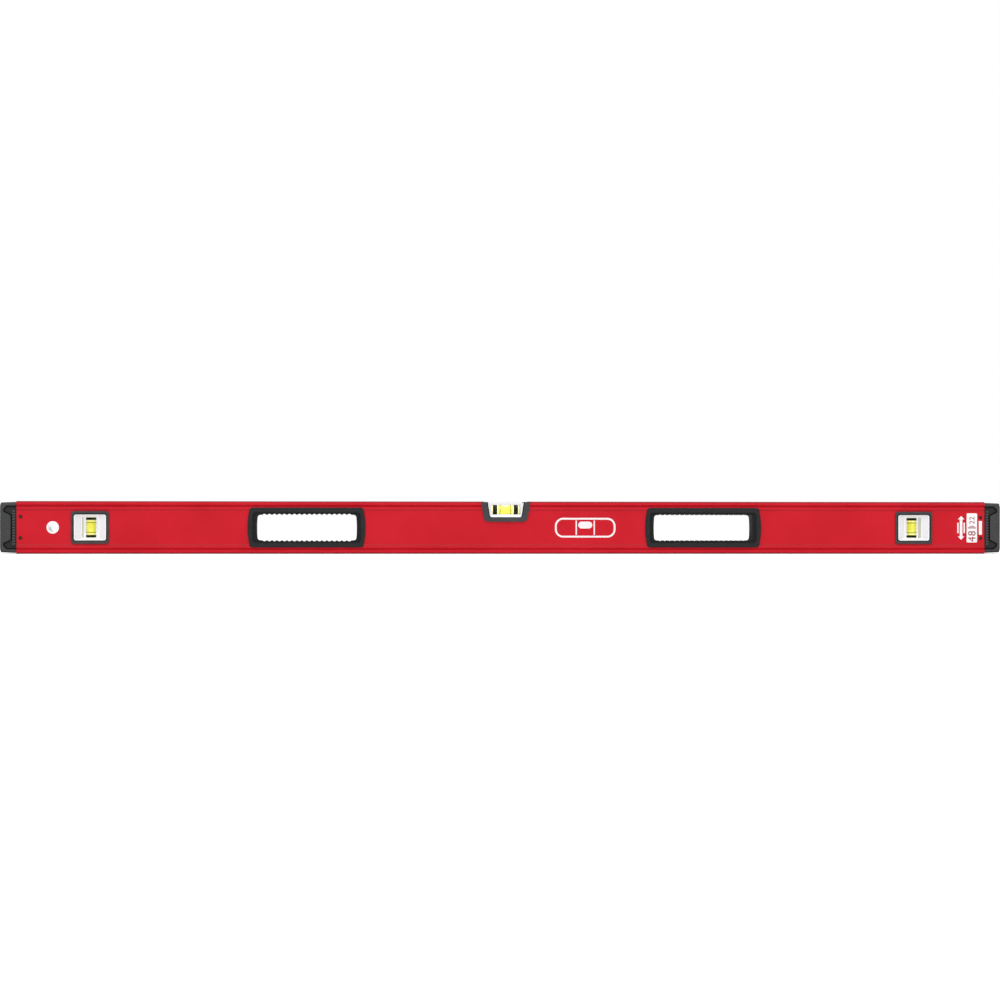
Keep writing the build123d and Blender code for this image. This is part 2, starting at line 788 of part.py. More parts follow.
def build_centre_bezel():
    """The dark frame at the back of the centre window, with an arm over each end of the carrier."""
    top = beam_height - saddle_top_gap
    bezel = slab(notch(0, top), web_half, bezel_face)
    bezel -= through(mouth_outline(0))
    bezel -= funnel(mouth_outline(0), mouth_outline(mouth_slope), lens_face, bezel_face)
    bezel -= slab(mouth_outline(lens_lap + lens_clearance), web_half - beyond, lens_face)
    arm_outline = notch(-(saddle_lap + carrier_clearance), top) - mouth_outline(lens_lap)
    arm_outline &= Pos(0, top - bridge_thickness / 2) * Rectangle(saddle_top_width, bridge_thickness)
    bezel += slab(arm_outline, bridge_gap, web_half)
    for x, z in centre_pegs():
        bezel += peg(x, z, peg_radius, web_half - peg_length, web_half)
    return bezel


def build_centre_lens():
    """The clear window at the back of the centre vial."""
    top = beam_height - saddle_top_gap
    return slab(mouth_outline(lens_lap, top), web_half, lens_face)


def build_centre_carrier():
    """The white cradle that fills the notch and holds the level vial."""
    top = beam_height - saddle_top_gap - bridge_thickness - bridge_gap
    carrier = slab(notch(-(saddle_lap + carrier_clearance), top), -web_half, web_half)
    block_low = centre_bore_z - centre_block_height / 2
    chamber_half = centre_block_length / 2 + vial_gap
    high = beam_height + beyond
    chamber = Pos(0, (block_low + high) / 2) * Rectangle(2 * chamber_half, high - block_low)
    block_face = centre_block_depth / 2 + vial_gap
    carrier -= slab(chamber, -block_face, block_face)
    window_low = block_low + sill_window_lip
    window_half = centre_block_length / 2 - sill_window_lip
    window = Pos(0, (window_low + high) / 2) * Rectangle(2 * window_half, high - window_low)
    wall_face = block_face + sill_window_lip
    carrier -= slab(window, -wall_face, wall_face)
    mouth = mouth_outline(0)
    slope_back = funnel(fillet(window.vertices().sort_by(Axis.Y)[:2], 0.5), mouth, wall_face, web_half)
    carrier -= slope_back
    carrier -= turned_back(slope_back)
    for peg_x, peg_z in centre_pegs():
        hole = peg(
            peg_x,
            peg_z,
            peg_radius + peg_clearance,
            web_half - peg_length - peg_clearance,
            web_half + beyond,
        )
        carrier -= hole
        carrier -= turned_back(hole)
    return carrier


# ---------------------------------------------------------------- size label
def build_size_label():
    """The printed vinyl label near the right end."""
    x = beam_end - label_from_end
    outline = rounded(label_width, label_height, label_radius, x)
    return slab(outline, -web_half - label_thickness, -web_half)


# ---------------------------------------------------------------- write the nodes
os.makedirs("parts", exist_ok=True)
save("beam", build_beam())
save("hang_hole_eyelet", build_eyelet())
save("size_label", build_size_label())

right_cap = {
    "cap_core": build_cap_core(),
    "cap_bumper": build_cap_bumper(),
    "cap_end_pad": build_end_pad(),
    "cap_snap_clips": build_snap_clips(),
}
for name, part in right_cap.items():
    save(f"right_{name}", part)
    save(f"left_{name}", on_left(part))

for label, side in (("left", -1), ("right", 1)):
    grip_x = side * grip_from_centre
    save(f"{label}_grip_front_shell", build_grip_shell(grip_x, True))
    save(f"{label}_grip_back_shell", build_grip_shell(grip_x, False))
    save(f"{label}_grip_liner", build_grip_liner(grip_x))
    window_x = side * plumb_x
    for name, build in (
        ("bezel", build_plumb_bezel),
        ("lens", build_plumb_lens),
        ("carrier", build_plumb_carrier),
    ):
        back = build(window_x)
        save(f"{label}_plumb_{name}_back", back)
        save(f"{label}_plumb_{name}_front", turned_back(back))
    for name, part in plumb_vial(window_x).items():
        save(f"{label}_plumb_{name}", part)

centre_bezel = build_centre_bezel()
save("centre_bezel_back", centre_bezel)
save("centre_bezel_front", turned_back(centre_bezel))
centre_lens = build_centre_lens()
save("centre_lens_back", centre_lens)
save("centre_lens_front", turned_back(centre_lens))
save("centre_carrier", build_centre_carrier())
for name, part in centre_vial().items():
    save(f"centre_{name}", part)
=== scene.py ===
import math

import bmesh
import bpy
from mathutils import Matrix, Vector


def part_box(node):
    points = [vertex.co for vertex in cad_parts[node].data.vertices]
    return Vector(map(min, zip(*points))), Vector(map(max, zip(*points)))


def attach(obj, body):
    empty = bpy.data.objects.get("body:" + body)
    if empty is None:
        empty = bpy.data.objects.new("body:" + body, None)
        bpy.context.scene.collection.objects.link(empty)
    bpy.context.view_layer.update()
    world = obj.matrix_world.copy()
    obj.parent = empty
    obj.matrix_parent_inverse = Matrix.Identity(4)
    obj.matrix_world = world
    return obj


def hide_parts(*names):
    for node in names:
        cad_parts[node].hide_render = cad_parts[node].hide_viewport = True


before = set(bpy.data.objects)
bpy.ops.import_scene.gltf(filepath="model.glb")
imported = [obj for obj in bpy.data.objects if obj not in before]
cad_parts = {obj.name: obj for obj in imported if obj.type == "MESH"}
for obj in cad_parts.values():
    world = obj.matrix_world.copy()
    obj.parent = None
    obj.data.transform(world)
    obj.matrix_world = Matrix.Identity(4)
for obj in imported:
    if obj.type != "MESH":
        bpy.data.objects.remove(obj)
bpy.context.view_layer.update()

# A four-foot box-section spirit level. Lengths are in metres; MM turns millimetres into metres.
MM = 0.001
beam_low, beam_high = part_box("beam")
MID_HEIGHT = (beam_low[2] + beam_high[2]) / 2
HALF_HEIGHT = (beam_high[2] - beam_low[2]) / 2
WEB_FACE = -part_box("size_label")[1][1]  # the beam's flat sides, measured from its middle
LINE_OFFSET = {"centre": 6.7 * MM, "plumb": 6.1 * MM}

# Where the red coat changes, measured in from the nearest measuring face; three of these spans mark where
# shade is painted into the coat.
BARE_FACE = (0.02 * MM, 0.06 * MM)
CORNER_SHADE_SPAN = (1.1 * MM, 1.6 * MM)
FACE_WALL = (2.7 * MM, 3.1 * MM)
GROOVE_SHADE_SPAN = (4.1 * MM, 4.5 * MM, 6.5 * MM, 6.9 * MM)
BAND_FOOT_SHADE_SPAN = (9.9 * MM, 10.2 * MM, 10.9 * MM, 11.2 * MM)

# Where other finishes change, measured from the level's middle towards its front or back.
WEB_INSIDE = (10.3 * MM, 10.5 * MM)
# The carriers' sloping walls, painted grey as shade.
CARRIER_SLOPE_SHADE = (9.2 * MM, 9.6 * MM, 11.7 * MM, 12.0 * MM)
# Deeper than this, the bezels' inner slopes are painted dark as shade.
BEZEL_FACE = (13.62 * MM, 13.69 * MM)
# Depths under which the cap core and the bumper are painted dark as shade, and past which the cap teeth
# are painted pale as a highlight.
CORE_SHADE_DEPTH = 10.8 * MM
RUBBER_SHADE_DEPTH = 11.6 * MM
TOOTH_HIGHLIGHT_FROM = 12.0 * MM

STUD_PITCH = 2.4 * MM  # between the studs on the end pads
COLUMN_INSET = 0.52 * MM  # how far a liquid column keeps inside its bore
BUBBLE_RISE = 2.5 * MM  # the centre bubble is cut from a ball whose middle is this far above its top
CENTRE_TIP = 15.5 * MM  # the centre liquid is palest past this distance from the middle
# The liquids' glow stands for the dye's fluorescence, and is partly painted light that brightens them.
PLUMB_GLOW = 0.44  # how strongly the dyed liquids shine
CENTRE_GLOW = 0.6
PRINT_THICKNESS = 0.06 * MM
FIGURE_THICKNESS = 0.04 * MM


def rgb(red, green, blue):
    """A display colour, 0 to 255, as the linear colour that shaders take."""
    def linear(value):
        share = value / 255
        return share / 12.92 if share <= 0.04045 else ((share + 0.055) / 1.055) ** 2.4

    return (linear(red), linear(green), linear(blue), 1.0)


# ---------------------------------------------------------------- shader maths
class Value:
    """A number or vector that changes over a surface. Python's operators add the nodes."""

    def __init__(self, finish, socket):
        self.finish = finish
        self.socket = socket

    def math(self, operation, *others, clamp=False):
        settings = {"operation": operation, "use_clamp": clamp}
        inputs = {index: value for index, value in enumerate((self, *others))}
        return self.finish.node("ShaderNodeMath", settings, inputs)

    def __add__(self, other):
        return self.math("ADD", other)

    __radd__ = __add__

    def __sub__(self, other):
        return self.math("SUBTRACT", other)

    def __rsub__(self, other):
        return self.finish.node("ShaderNodeMath", {"operation": "SUBTRACT"}, {0: other, 1: self})

    def __mul__(self, other):
        return self.math("MULTIPLY", other)

    __rmul__ = __mul__

    def __truediv__(self, other):
        return self.math("DIVIDE", other)

    def __abs__(self):
        return self.math("ABSOLUTE")

    def step(self, start, end):
        """0 below start and 1 above end, with a smooth rise between."""
        inputs = {"Value": self, "From Min": start, "From Max": end}
        return self.finish.node("ShaderNodeMapRange", {"interpolation_type": "SMOOTHSTEP"}, inputs)

    def band(self, start, full, fade, end):
        """1 between full and fade, and 0 before start and past end."""
        return self.step(start, full) * (1 - self.step(fade, end))


class Finish:
    """A material, made node by node."""

    def __init__(self, name):
        self.material = bpy.data.materials.new(name)
        self.material.use_nodes = True
        self.tree = self.material.node_tree
        self.tree.nodes.clear()
        self.place = self.node("ShaderNodeTexCoord", output="Object")
        self.parts = None

    def node(self, kind, settings=None, inputs=None, output=0):
        """Adds one node: its settings first, then what goes into its sockets."""
        made = self.tree.nodes.new(kind)
        for key, value in (settings or {}).items():
            if key == "stops":
                ramp = made.color_ramp
                while len(ramp.elements) < len(value):
                    ramp.elements.new(0.5)
                for stop, (position, colour) in zip(ramp.elements, value):
                    stop.position = position
                    stop.color = colour
            else:
                setattr(made, key, value)
        for key, value in (inputs or {}).items():
            if isinstance(value, Value):
                self.tree.links.new(value.socket, made.inputs[key])
            else:
                made.inputs[key].default_value = value
        return None if output is None else Value(self, made.outputs[output])

    def axis(self, name):
        """One coordinate of the surface point, X, Y or Z."""
        if self.parts is None:
            separate = self.tree.nodes.new("ShaderNodeSeparateXYZ")
            self.tree.links.new(self.place.socket, separate.inputs[0])
            self.parts = {key: Value(self, separate.outputs[key]) for key in "XYZ"}
        return self.parts[name]

    def noise(self, scale, detail=2.0, roughness=0.5, stretch=None):
        """Soft random mottling. Scale is in lumps per metre; stretch multiplies it by axis."""
        where = self.place
        if stretch:
            where = self.node("ShaderNodeMapping", None, {"Vector": self.place, "Scale": stretch})
        inputs = {"Vector": where, "Scale": scale, "Detail": detail, "Roughness": roughness}
        return self.node("ShaderNodeTexNoise", None, inputs, "Fac")

    def cells(self, scale):
        """Small pits, such as the grain of a mould."""
        return self.node("ShaderNodeTexVoronoi", None, {"Vector": self.place, "Scale": scale}, "Distance")

    def mix(self, share, first, second):
        """One colour where share is 0, turning to another where it is 1."""
        made = self.tree.nodes.new("ShaderNodeMix")
        made.data_type = "RGBA"
        made.clamp_factor = True
        for index, value in ((0, share), (6, first), (7, second)):
            if isinstance(value, Value):
                self.tree.links.new(value.socket, made.inputs[index])
            else:
                made.inputs[index].default_value = value
        return Value(self, made.outputs[2])

    def bump(self, height, distance, strength):
        """Small relief in the surface, distance deep."""
        inputs = {"Height": height, "Distance": distance, "Strength": strength}
        return self.node("ShaderNodeBump", None, inputs, "Normal")

    def surface(self, **sockets):
        """The shader itself. Socket names are written with _ for a space."""
        inputs = {key.replace("_", " "): value for key, value in sockets.items()}
        shader = self.node("ShaderNodeBsdfPrincipled", None, inputs, "BSDF")
        self.node("ShaderNodeOutputMaterial", None, {"Surface": shader}, None)
        return self.material


# ---------------------------------------------------------------- finishes
def red_powder_coat():
    """Red coat with a fine orange peel, painted darker as shade at the corners by the measuring faces, in
    the grooves and at the foot of each band; the measuring faces and the inside are bare aluminium.
    """
    f = Finish("red_powder_coat")
    cloud = f.noise(18, detail=3)
    peel = f.noise(1400, detail=2)
    coat = f.mix(cloud.step(0.3, 0.7), rgb(198, 15, 34), rgb(206, 21, 40))
    from_face = HALF_HEIGHT - abs(f.axis("Z") - MID_HEIGHT)
    # Painted shade: the coat turns deep red at the corners by the measuring faces, in the grooves and at
    # the foot of each band.
    corner_shade = 1 - from_face.step(*CORNER_SHADE_SPAN)
    groove_shade = from_face.band(*GROOVE_SHADE_SPAN)
    band_foot_shade = from_face.band(*BAND_FOOT_SHADE_SPAN)
    shade = (0.85 * corner_shade).math("MAXIMUM", 0.12 * groove_shade).math("MAXIMUM", 0.5 * band_foot_shade)
    coat = f.mix(shade, coat, rgb(110, 4, 10))

    streaks = f.noise(160, detail=4, stretch=(40, 1, 1))
    milled = f.mix(streaks.step(0.25, 0.75), rgb(176, 178, 180), rgb(214, 215, 217))
    drawn_lines = f.noise(220, detail=4, stretch=(0.05, 4, 4))
    drawn = f.mix(drawn_lines.step(0.3, 0.7), rgb(150, 152, 154), rgb(186, 188, 190))
    on_face = 1 - from_face.step(*BARE_FACE)
    across = abs(f.axis("Y"))
    inside = (1 - across.step(*WEB_INSIDE)) * from_face.step(*FACE_WALL)
    bare = f.mix(on_face, drawn, milled)
    is_bare = on_face.math("MAXIMUM", inside)
    colour = f.mix(is_bare, coat, bare)

    scuffs = f.noise(75, detail=5, roughness=0.7, stretch=(0.3, 1, 1))
    coat_roughness = 0.36 + 0.1 * peel + 0.12 * scuffs.step(0.62, 0.75)
    bare_roughness = 0.28 + 0.14 * streaks
    roughness = coat_roughness + is_bare * (bare_roughness - coat_roughness)
    height = peel * (1 - is_bare) + 0.5 * streaks * is_bare
    return f.surface(
        Base_Color=colour,
        Metallic=is_bare,
        Roughness=roughness,
        Normal=f.bump(height, 0.03 * MM, 0.55),
        Specular_IOR_Level=0.22,
    )


def moulded(name, colour, lighter, roughness, grain, depth, sheen=0.3, shade_depth=None, teeth=None):
    """Plastic or rubber from a textured mould.

    Whatever lies nearer to the level's middle than the given shade depth is painted almost black, as
    shade in the recesses, and teeth that stand out past the distance teeth are painted paler, as a
    highlight.
    """
    f = Finish(name)
    mottle = f.noise(260, detail=5, roughness=0.65)
    grains = f.cells(grain)
    fine = f.noise(grain * 1.7, detail=3)
    base = f.mix(0.45 * mottle.step(0.3, 0.75) + 0.3 * grains.step(0.0, 0.5), colour, lighter)
    if shade_depth:
        # Painted shade: parts sunk deeper than the shade depth turn almost black.
        recess_shade = 1 - abs(f.axis("Y")).step(shade_depth, shade_depth + 0.5 * MM)
        base = f.mix(recess_shade * 0.9, base, rgb(14, 14, 15))
    if teeth:
        # Painted highlight: teeth standing out from the face turn paler.
        base = f.mix(abs(f.axis("Y")).step(teeth, teeth + 0.2 * MM), base, rgb(78, 79, 80))
    height = 0.6 * grains + 0.4 * fine
    return f.surface(
        Base_Color=base,
        Roughness=roughness + 0.08 * (mottle - 0.5) + 0.06 * fine,
        Normal=f.bump(height, depth, 0.6),
        Specular_IOR_Level=sheen,
    )


def studded_rubber():
    """Dark anti-slip rubber, with small round studs in rows over the end of the level."""
    f = Finish("pad_rubber")
    across = (f.axis("Y") * (math.tau / STUD_PITCH)).math("COSINE")
    up = ((f.axis("Z") - MID_HEIGHT) * (math.tau / STUD_PITCH)).math("COSINE")
    studs = (across + up).step(0.5, 1.1)
    mottle = f.noise(300, detail=5, roughness=0.65)
    grains = f.cells(2300)
    base = f.mix(mottle.step(0.3, 0.75), rgb(42, 43, 44), rgb(50, 51, 52))
    return f.surface(
        Base_Color=f.mix(studs * 0.6, base, rgb(62, 63, 64)),
        Roughness=0.72 + 0.08 * mottle,
        Normal=f.bump(studs + 0.12 * grains, 0.35 * MM, 0.8),
        Specular_IOR_Level=0.2,
    )


def bezel_plastic():
    """Dark window frames: textured faces, and smoother inner slopes painted darker as shade."""
    f = Finish("bezel_plastic")
    mottle = f.noise(120, detail=4)
    grains = f.cells(2600)
    on_top = abs(f.axis("Y")).step(*BEZEL_FACE)
    face = f.mix(mottle.step(0.3, 0.75), rgb(58, 59, 61), rgb(67, 68, 70))
    # Painted shade: the inner slopes take a near-black copy of the face colour.
    slope_shade = f.mix(mottle.step(0.3, 0.75), rgb(12, 12, 13), rgb(19, 19, 20))
    return f.surface(
        Base_Color=f.mix(on_top, slope_shade, face),
        Roughness=0.34 + 0.2 * on_top + 0.1 * (mottle - 0.5),
        Normal=f.bump(grains * on_top, 0.03 * MM, 0.5),
        Specular_IOR_Level=0.35,
    )


def white_plastic():
    """Glossy white carrier with faint flow marks from its mould, painted greyer on its sloping walls as
    shade, and glowing faintly as painted light.
    """
    f = Finish("white_plastic")
    flow = f.noise(60, detail=5, stretch=(1, 1, 0.4))
    fine = f.noise(1500, detail=2)
    depth = abs(f.axis("Y"))
    # Painted shade: the sloping walls turn grey.
    slope_shade = depth.band(*CARRIER_SLOPE_SHADE)
    white = f.mix(flow.step(0.3, 0.7), rgb(247, 247, 248), rgb(253, 253, 252))
    colour = f.mix(slope_shade, white, rgb(226, 226, 229))
    return f.surface(
        Base_Color=colour,
        Roughness=0.3 + 0.12 * flow,
        Normal=f.bump(fine, 0.01 * MM, 0.3),
        # Painted light: the white glows faintly, though the carrier is no lamp.
        Emission_Color=colour,
        Emission_Strength=0.2,
    )


def turned_metal(name, light, dark, roughness, axis, centre):
    """Metal turned on a lathe, with fine rings about its axis, and a faint glow that is painted light."""
    f = Finish(name)
    first, second = [key for key in "XYZ" if key != axis]
    across = f.axis(first) - centre[0]
    up = f.axis(second) - centre[1]
    radius = (across * across + up * up).math("SQRT")
    rings = (radius * 14000).math("SINE") * 0.5 + 0.5
    haze = f.noise(300, detail=4)
    colour = f.mix(haze.step(0.3, 0.7), light, dark)
    return f.surface(
        Base_Color=colour,
        # Painted light: the metal glows faintly though it is no lamp.
        Emission_Color=colour,
        Emission_Strength=0.14,
        Metallic=0.2,
        Roughness=roughness + 0.1 * haze + 0.05 * rings,
        Normal=f.bump(rings, 0.004 * MM, 0.4),
    )


def spring_steel():
    """Blued spring steel with drawn lines along the strip."""
    f = Finish("spring_steel")
    lines = f.noise(900, detail=3, stretch=(0.08, 1, 1))
    haze = f.noise(220, detail=4)
    return f.surface(
        Base_Color=f.mix(haze.step(0.3, 0.7), rgb(54, 44, 38), rgb(84, 76, 66)),
        Metallic=0.7,
        Roughness=0.34 + 0.2 * lines,
        Normal=f.bump(lines, 0.01 * MM, 0.4),
    )


def clear_plastic(name, tint, alpha, smudge):
    """Clear acrylic: nearly invisible, with faint wipe marks in its gloss."""
    f = Finish(name)
    marks = f.noise(140, detail=5, roughness=0.65, stretch=(1, 1, 0.35))
    specks = f.noise(900, detail=2)
    return f.surface(
        Base_Color=f.mix(marks.step(0.4, 0.8), tint, rgb(110, 116, 112)),
        Roughness=0.03 + smudge * marks.step(0.5, 0.8),
        Alpha=alpha + 0.01 * specks,
        Normal=f.bump(specks, 0.004 * MM, 0.2),
        Specular_IOR_Level=0.5,
    )


def vial_liquid(name, axis, centre, line_offset, glow, tip=None):
    """Fluorescent yellow-green liquid, paler beyond the reading lines and palest past the tip; its glow
    stands for the dye's fluorescence and is partly painted light.
    """
    f = Finish(name)
    along = abs(f.axis(axis) - centre)
    swirl = f.noise(120, detail=3)
    beyond = along.step(line_offset - 0.2 * MM, line_offset + 0.2 * MM)
    middle = f.mix(swirl.step(0.3, 0.7), rgb(230, 227, 72), rgb(240, 237, 88))
    ends = f.mix(swirl.step(0.3, 0.7), rgb(255, 252, 128), rgb(255, 254, 150))
    colour = f.mix(beyond, middle, ends)
    if tip:
        colour = f.mix(along.step(tip, tip + 0.8 * MM), colour, rgb(252, 250, 200))
    return f.surface(
        Base_Color=colour,
        Roughness=0.12 + 0.05 * swirl,
        # Partly painted light: the glow stands for the dye's fluorescence.
        Emission_Color=colour,
        Emission_Strength=glow,
        Coat_Weight=0.4,
        Coat_Roughness=0.05,
    )


def level_bands(name, axis, centre, line_offset):
    """Black bands near the ends and thin olive reading lines, inked on the bore."""
    f = Finish(name)
    along = abs(f.axis(axis) - centre)
    ink = f.noise(700, detail=4, roughness=0.6)
    wide = along.step(line_offset + 1.2 * MM, line_offset + 1.4 * MM)
    black = f.mix(ink.step(0.3, 0.7), rgb(10, 10, 9), rgb(22, 21, 18))
    olive = f.mix(ink.step(0.3, 0.7), rgb(160, 152, 22), rgb(178, 170, 34))
    return f.surface(
        Base_Color=f.mix(wide, olive, black),
        Roughness=0.38 + 0.12 * ink,
        Normal=f.bump(ink, 0.003 * MM, 0.2),
        Specular_IOR_Level=0.2,
    )


def air_bubble(name, centre, radius, rim, flat_axis=None):
    """A bubble, pale in the middle with a dark olive rim where light is bent away, and a faint glow that
    is painted light.
    """
    f = Finish(name)
    sides = [f.axis(key) - value for key, value in zip("XYZ", centre) if key != flat_axis]
    total = sides[0] * sides[0] + sides[1] * sides[1]
    if len(sides) == 3:
        total = total + sides[2] * sides[2]
    near_rim = total.math("SQRT").step(radius - rim, radius - 0.2 * rim)
    haze = f.noise(500, detail=3)
    pale = f.mix(haze.step(0.3, 0.7), rgb(249, 249, 190), rgb(254, 254, 214))
    colour = f.mix(near_rim * 0.85, pale, rgb(150, 146, 30))
    return f.surface(
        Base_Color=colour,
        Roughness=0.08 + 0.05 * haze,
        # Painted light: the bubble glows faintly though it is no lamp.
        Emission_Color=colour,
        Emission_Strength=0.25,
        Coat_Weight=0.5,
        Coat_Roughness=0.03,
    )


def printed(name, colour, darker, roughness=0.42):
    """Screen-printed ink or vinyl, with slight unevenness."""
    f = Finish(name)
    uneven = f.noise(500, detail=4)
    weave = f.noise(2400, detail=2)
    return f.surface(
        Base_Color=f.mix(uneven.step(0.35, 0.75), colour, darker),
        Roughness=roughness + 0.12 * uneven,
        Normal=f.bump(weave, 0.01 * MM, 0.3),
    )


def pale_floor():
    """The matt white surface that the level stands on."""
    f = Finish("pale_floor")
    cloud = f.noise(1.5, detail=2)
    return f.surface(
        Base_Color=f.mix(cloud, rgb(247, 247, 247), rgb(250, 250, 250)),
        Roughness=0.9 + 0.05 * cloud,
        Specular_IOR_Level=0.0,
    )


# ---------------------------------------------------------------- pieces
def finish_piece(name, shape, body, material, replaced=()):
    """Turns a bmesh into a finished piece of the level."""
    bmesh.ops.remove_doubles(shape, verts=shape.verts, dist=0.0005 * MM)
    bmesh.ops.recalc_face_normals(shape, faces=shape.faces)
    mesh = bpy.data.meshes.new(name)
    shape.to_mesh(mesh)
    shape.free()
    mesh.materials.append(material)
    piece = bpy.data.objects.new(name, mesh)
    bpy.context.scene.collection.objects.link(piece)
    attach(piece, body)
    if replaced:
        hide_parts(*replaced)
    return piece


def raise_print(shape, thickness):
    """Gives a flat print its thickness, out from the beam's front."""
    grown = bmesh.ops.extrude_face_region(shape, geom=list(shape.faces))
    fresh = [item for item in grown["geom"] if isinstance(item, bmesh.types.BMVert)]
    bmesh.ops.translate(shape, verts=fresh, vec=(0, -thickness, 0))


def to_front(shape, x, z, face=WEB_FACE):
    """Stands a flat shape drawn on XY against the beam's front, at x and z."""
    turn = Matrix.Rotation(math.radians(90), 4, "X")
    place = Matrix.Translation((x, -face, z))
    bmesh.ops.transform(shape, matrix=place @ turn, verts=shape.verts)


def round_plate(width, height, radius, segments=6):
    """A flat rounded rectangle on XY."""
    shape = bmesh.new()
    bmesh.ops.create_grid(shape, x_segments=1, y_segments=1, size=0.5)
    bmesh.ops.scale(shape, vec=(width, height, 1), verts=shape.verts)
    corners = list(shape.verts)
    bmesh.ops.bevel(
        shape,
        geom=corners,
        offset=radius,
        offset_type="OFFSET",
        affect="VERTICES",
        segments=segments,
        profile=0.5,
        material=-1,
    )
    return shape


def round_ring(width, height, radius, line):
    """A flat frame on XY with rounded corners, made of a line of even width."""
    shape = round_plate(width, height, radius, 14)
    hole = round_plate(width - 2 * line, height - 2 * line, radius - line, 14)
    flat = bpy.data.meshes.new("hole")
    hole.to_mesh(flat)
    hole.free()
    shape.from_mesh(flat)
    bpy.data.meshes.remove(flat)
    bmesh.ops.delete(shape, geom=list(shape.faces), context="FACES_ONLY")
    bmesh.ops.bridge_loops(shape, edges=list(shape.edges))
    return shape


def outline_plate(points):
    """A flat shape on XY from its corners."""
    shape = bmesh.new()
    shape.faces.new([shape.verts.new((x, y, 0)) for x, y in points])
    return shape


def print_on_front(name, shape, x, z, material, face=WEB_FACE, thickness=PRINT_THICKNESS):
    """A flat shape as a print that stands on the beam's front, or on the label's."""
    to_front(shape, x, z, face)
    raise_print(shape, thickness)
    return finish_piece(name, shape, "level", material)


def double_arrow(length, shaft, head_width, head_length):
    """The corners of an upright arrow with a head at each end."""
    half, tip = shaft / 2, length / 2
    right = [(half, -tip + head_length), (half, tip - head_length), (head_width / 2, tip - head_length)]
    upper = right + [(0, tip)]
    lower_right = [(0, -tip), (head_width / 2, -tip + head_length)]
    left = [(-x, y) for x, y in reversed(lower_right[1:] + upper[:-1])]
    return lower_right + upper + left


def digits(name, text, height, x, z, material, face):
    """Size figures that read upwards, printed on the label."""
    curve = bpy.data.curves.new(name, "FONT")
    curve.body = text
    curve.size = 1.0
    curve.space_character = 1.08
    curve.align_x = "CENTER"
    curve.align_y = "CENTER"
    writer = bpy.data.objects.new(name, curve)
    bpy.context.scene.collection.objects.link(writer)
    bpy.context.view_layer.update()
    flat = bpy.data.meshes.new_from_object(writer)
    bpy.data.objects.remove(writer)
    shape = bmesh.new()
    shape.from_mesh(flat)
    bpy.data.meshes.remove(flat)
    low = min(vert.co.y for vert in shape.verts)
    high = max(vert.co.y for vert in shape.verts)
    left = min(vert.co.x for vert in shape.verts)
    right = max(vert.co.x for vert in shape.verts)
    centre = Matrix.Translation((-(left + right) / 2, -(low + high) / 2, 0))
    size = Matrix.Scale(height / (high - low), 4)
    upwards = Matrix.Rotation(math.radians(90), 4, "Z")
    for facet in shape.faces:
        facet.smooth = False
    bmesh.ops.transform(shape, matrix=upwards @ size @ centre, verts=shape.verts)
    return print_on_front(name, shape, x, z, material, face=face, thickness=FIGURE_THICKNESS)


def barrel(length, radius, arch=500 * MM, steps=32, around=96):
    """A closed barrel along X whose wall arches, as a vial's bore does."""
    shape = bmesh.new()
    half = length / 2
    row = [shape.verts.new((-half, 0, 0))]
    for step in range(steps + 1):
        x = -half + length * step / steps
        row.append(shape.verts.new((x, 0, radius - (arch - math.sqrt(arch * arch - x * x)))))
    row.append(shape.verts.new((half, 0, 0)))
    edges = [shape.edges.new(pair) for pair in zip(row, row[1:])]
    bmesh.ops.spin(
        shape,
        geom=row + edges,
        cent=(0, 0, 0),
        axis=(1, 0, 0),
        angle=math.tau,
        steps=around,
        use_merge=True,
    )
    return shape


def liquid_column(node, upright, liner, material):
    """The liquid as one full column, so that the bubble shows wherever it has moved to."""
    low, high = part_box(node)
    centre = (Vector(low) + Vector(high)) / 2
    size = Vector(high) - Vector(low)
    length = size.z if upright else size.x
    radius = size.y / 2 - liner
    shape = barrel(length - 0.04 * MM, radius)
    turn = Matrix.Rotation(math.radians(90), 4, "Y") if upright else Matrix.Identity(4)
    bmesh.ops.transform(shape, matrix=Matrix.Translation(centre) @ turn, verts=shape.verts)
    piece = finish_piece(f"{node}_column", shape, "level", material, (node,))
    for polygon in piece.data.polygons:
        polygon.use_smooth = len(polygon.vertices) == 4
    return piece


def use(material, *names):
    """Gives CAD pieces a finish."""
    for name in names:
        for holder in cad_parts[name].material_slots:
            holder.material = material


# ---------------------------------------------------------------- the level's CAD pieces
SIDES = ("left", "right")
use(red_powder_coat(), "beam")
hang_x = (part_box("hang_hole_eyelet")[0][0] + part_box("hang_hole_eyelet")[1][0]) / 2
use(
    turned_metal("eyelet_metal", rgb(246, 246, 246), rgb(232, 233, 234), 0.22, "Y", (hang_x, MID_HEIGHT)),
    "hang_hole_eyelet",
)
white_vinyl = printed("white_vinyl", rgb(250, 249, 249), rgb(243, 242, 243), 0.36)
use(white_vinyl, "size_label")

cap_plastic = moulded(
    "cap_plastic",
    rgb(30, 31, 32),
    rgb(40, 41, 42),
    0.5,
    1900,
    0.03 * MM,
    shade_depth=CORE_SHADE_DEPTH,
    teeth=TOOTH_HIGHLIGHT_FROM,
)
cap_rubber = moulded(
    "cap_rubber",
    rgb(56, 57, 58),
    rgb(72, 73, 74),
    0.62,
    1500,
    0.05 * MM,
    sheen=0.25,
    shade_depth=RUBBER_SHADE_DEPTH,
)
pad_rubber = studded_rubber()
grip_plastic = moulded("grip_plastic", rgb(29, 30, 32), rgb(41, 42, 44), 0.52, 1900, 0.03 * MM, 0.25)
grip_rubber = moulded("grip_rubber", rgb(20, 21, 22), rgb(31, 32, 33), 0.68, 1500, 0.05 * MM, 0.2)
steel = spring_steel()
frame_plastic = bezel_plastic()
carrier_plastic = white_plastic()
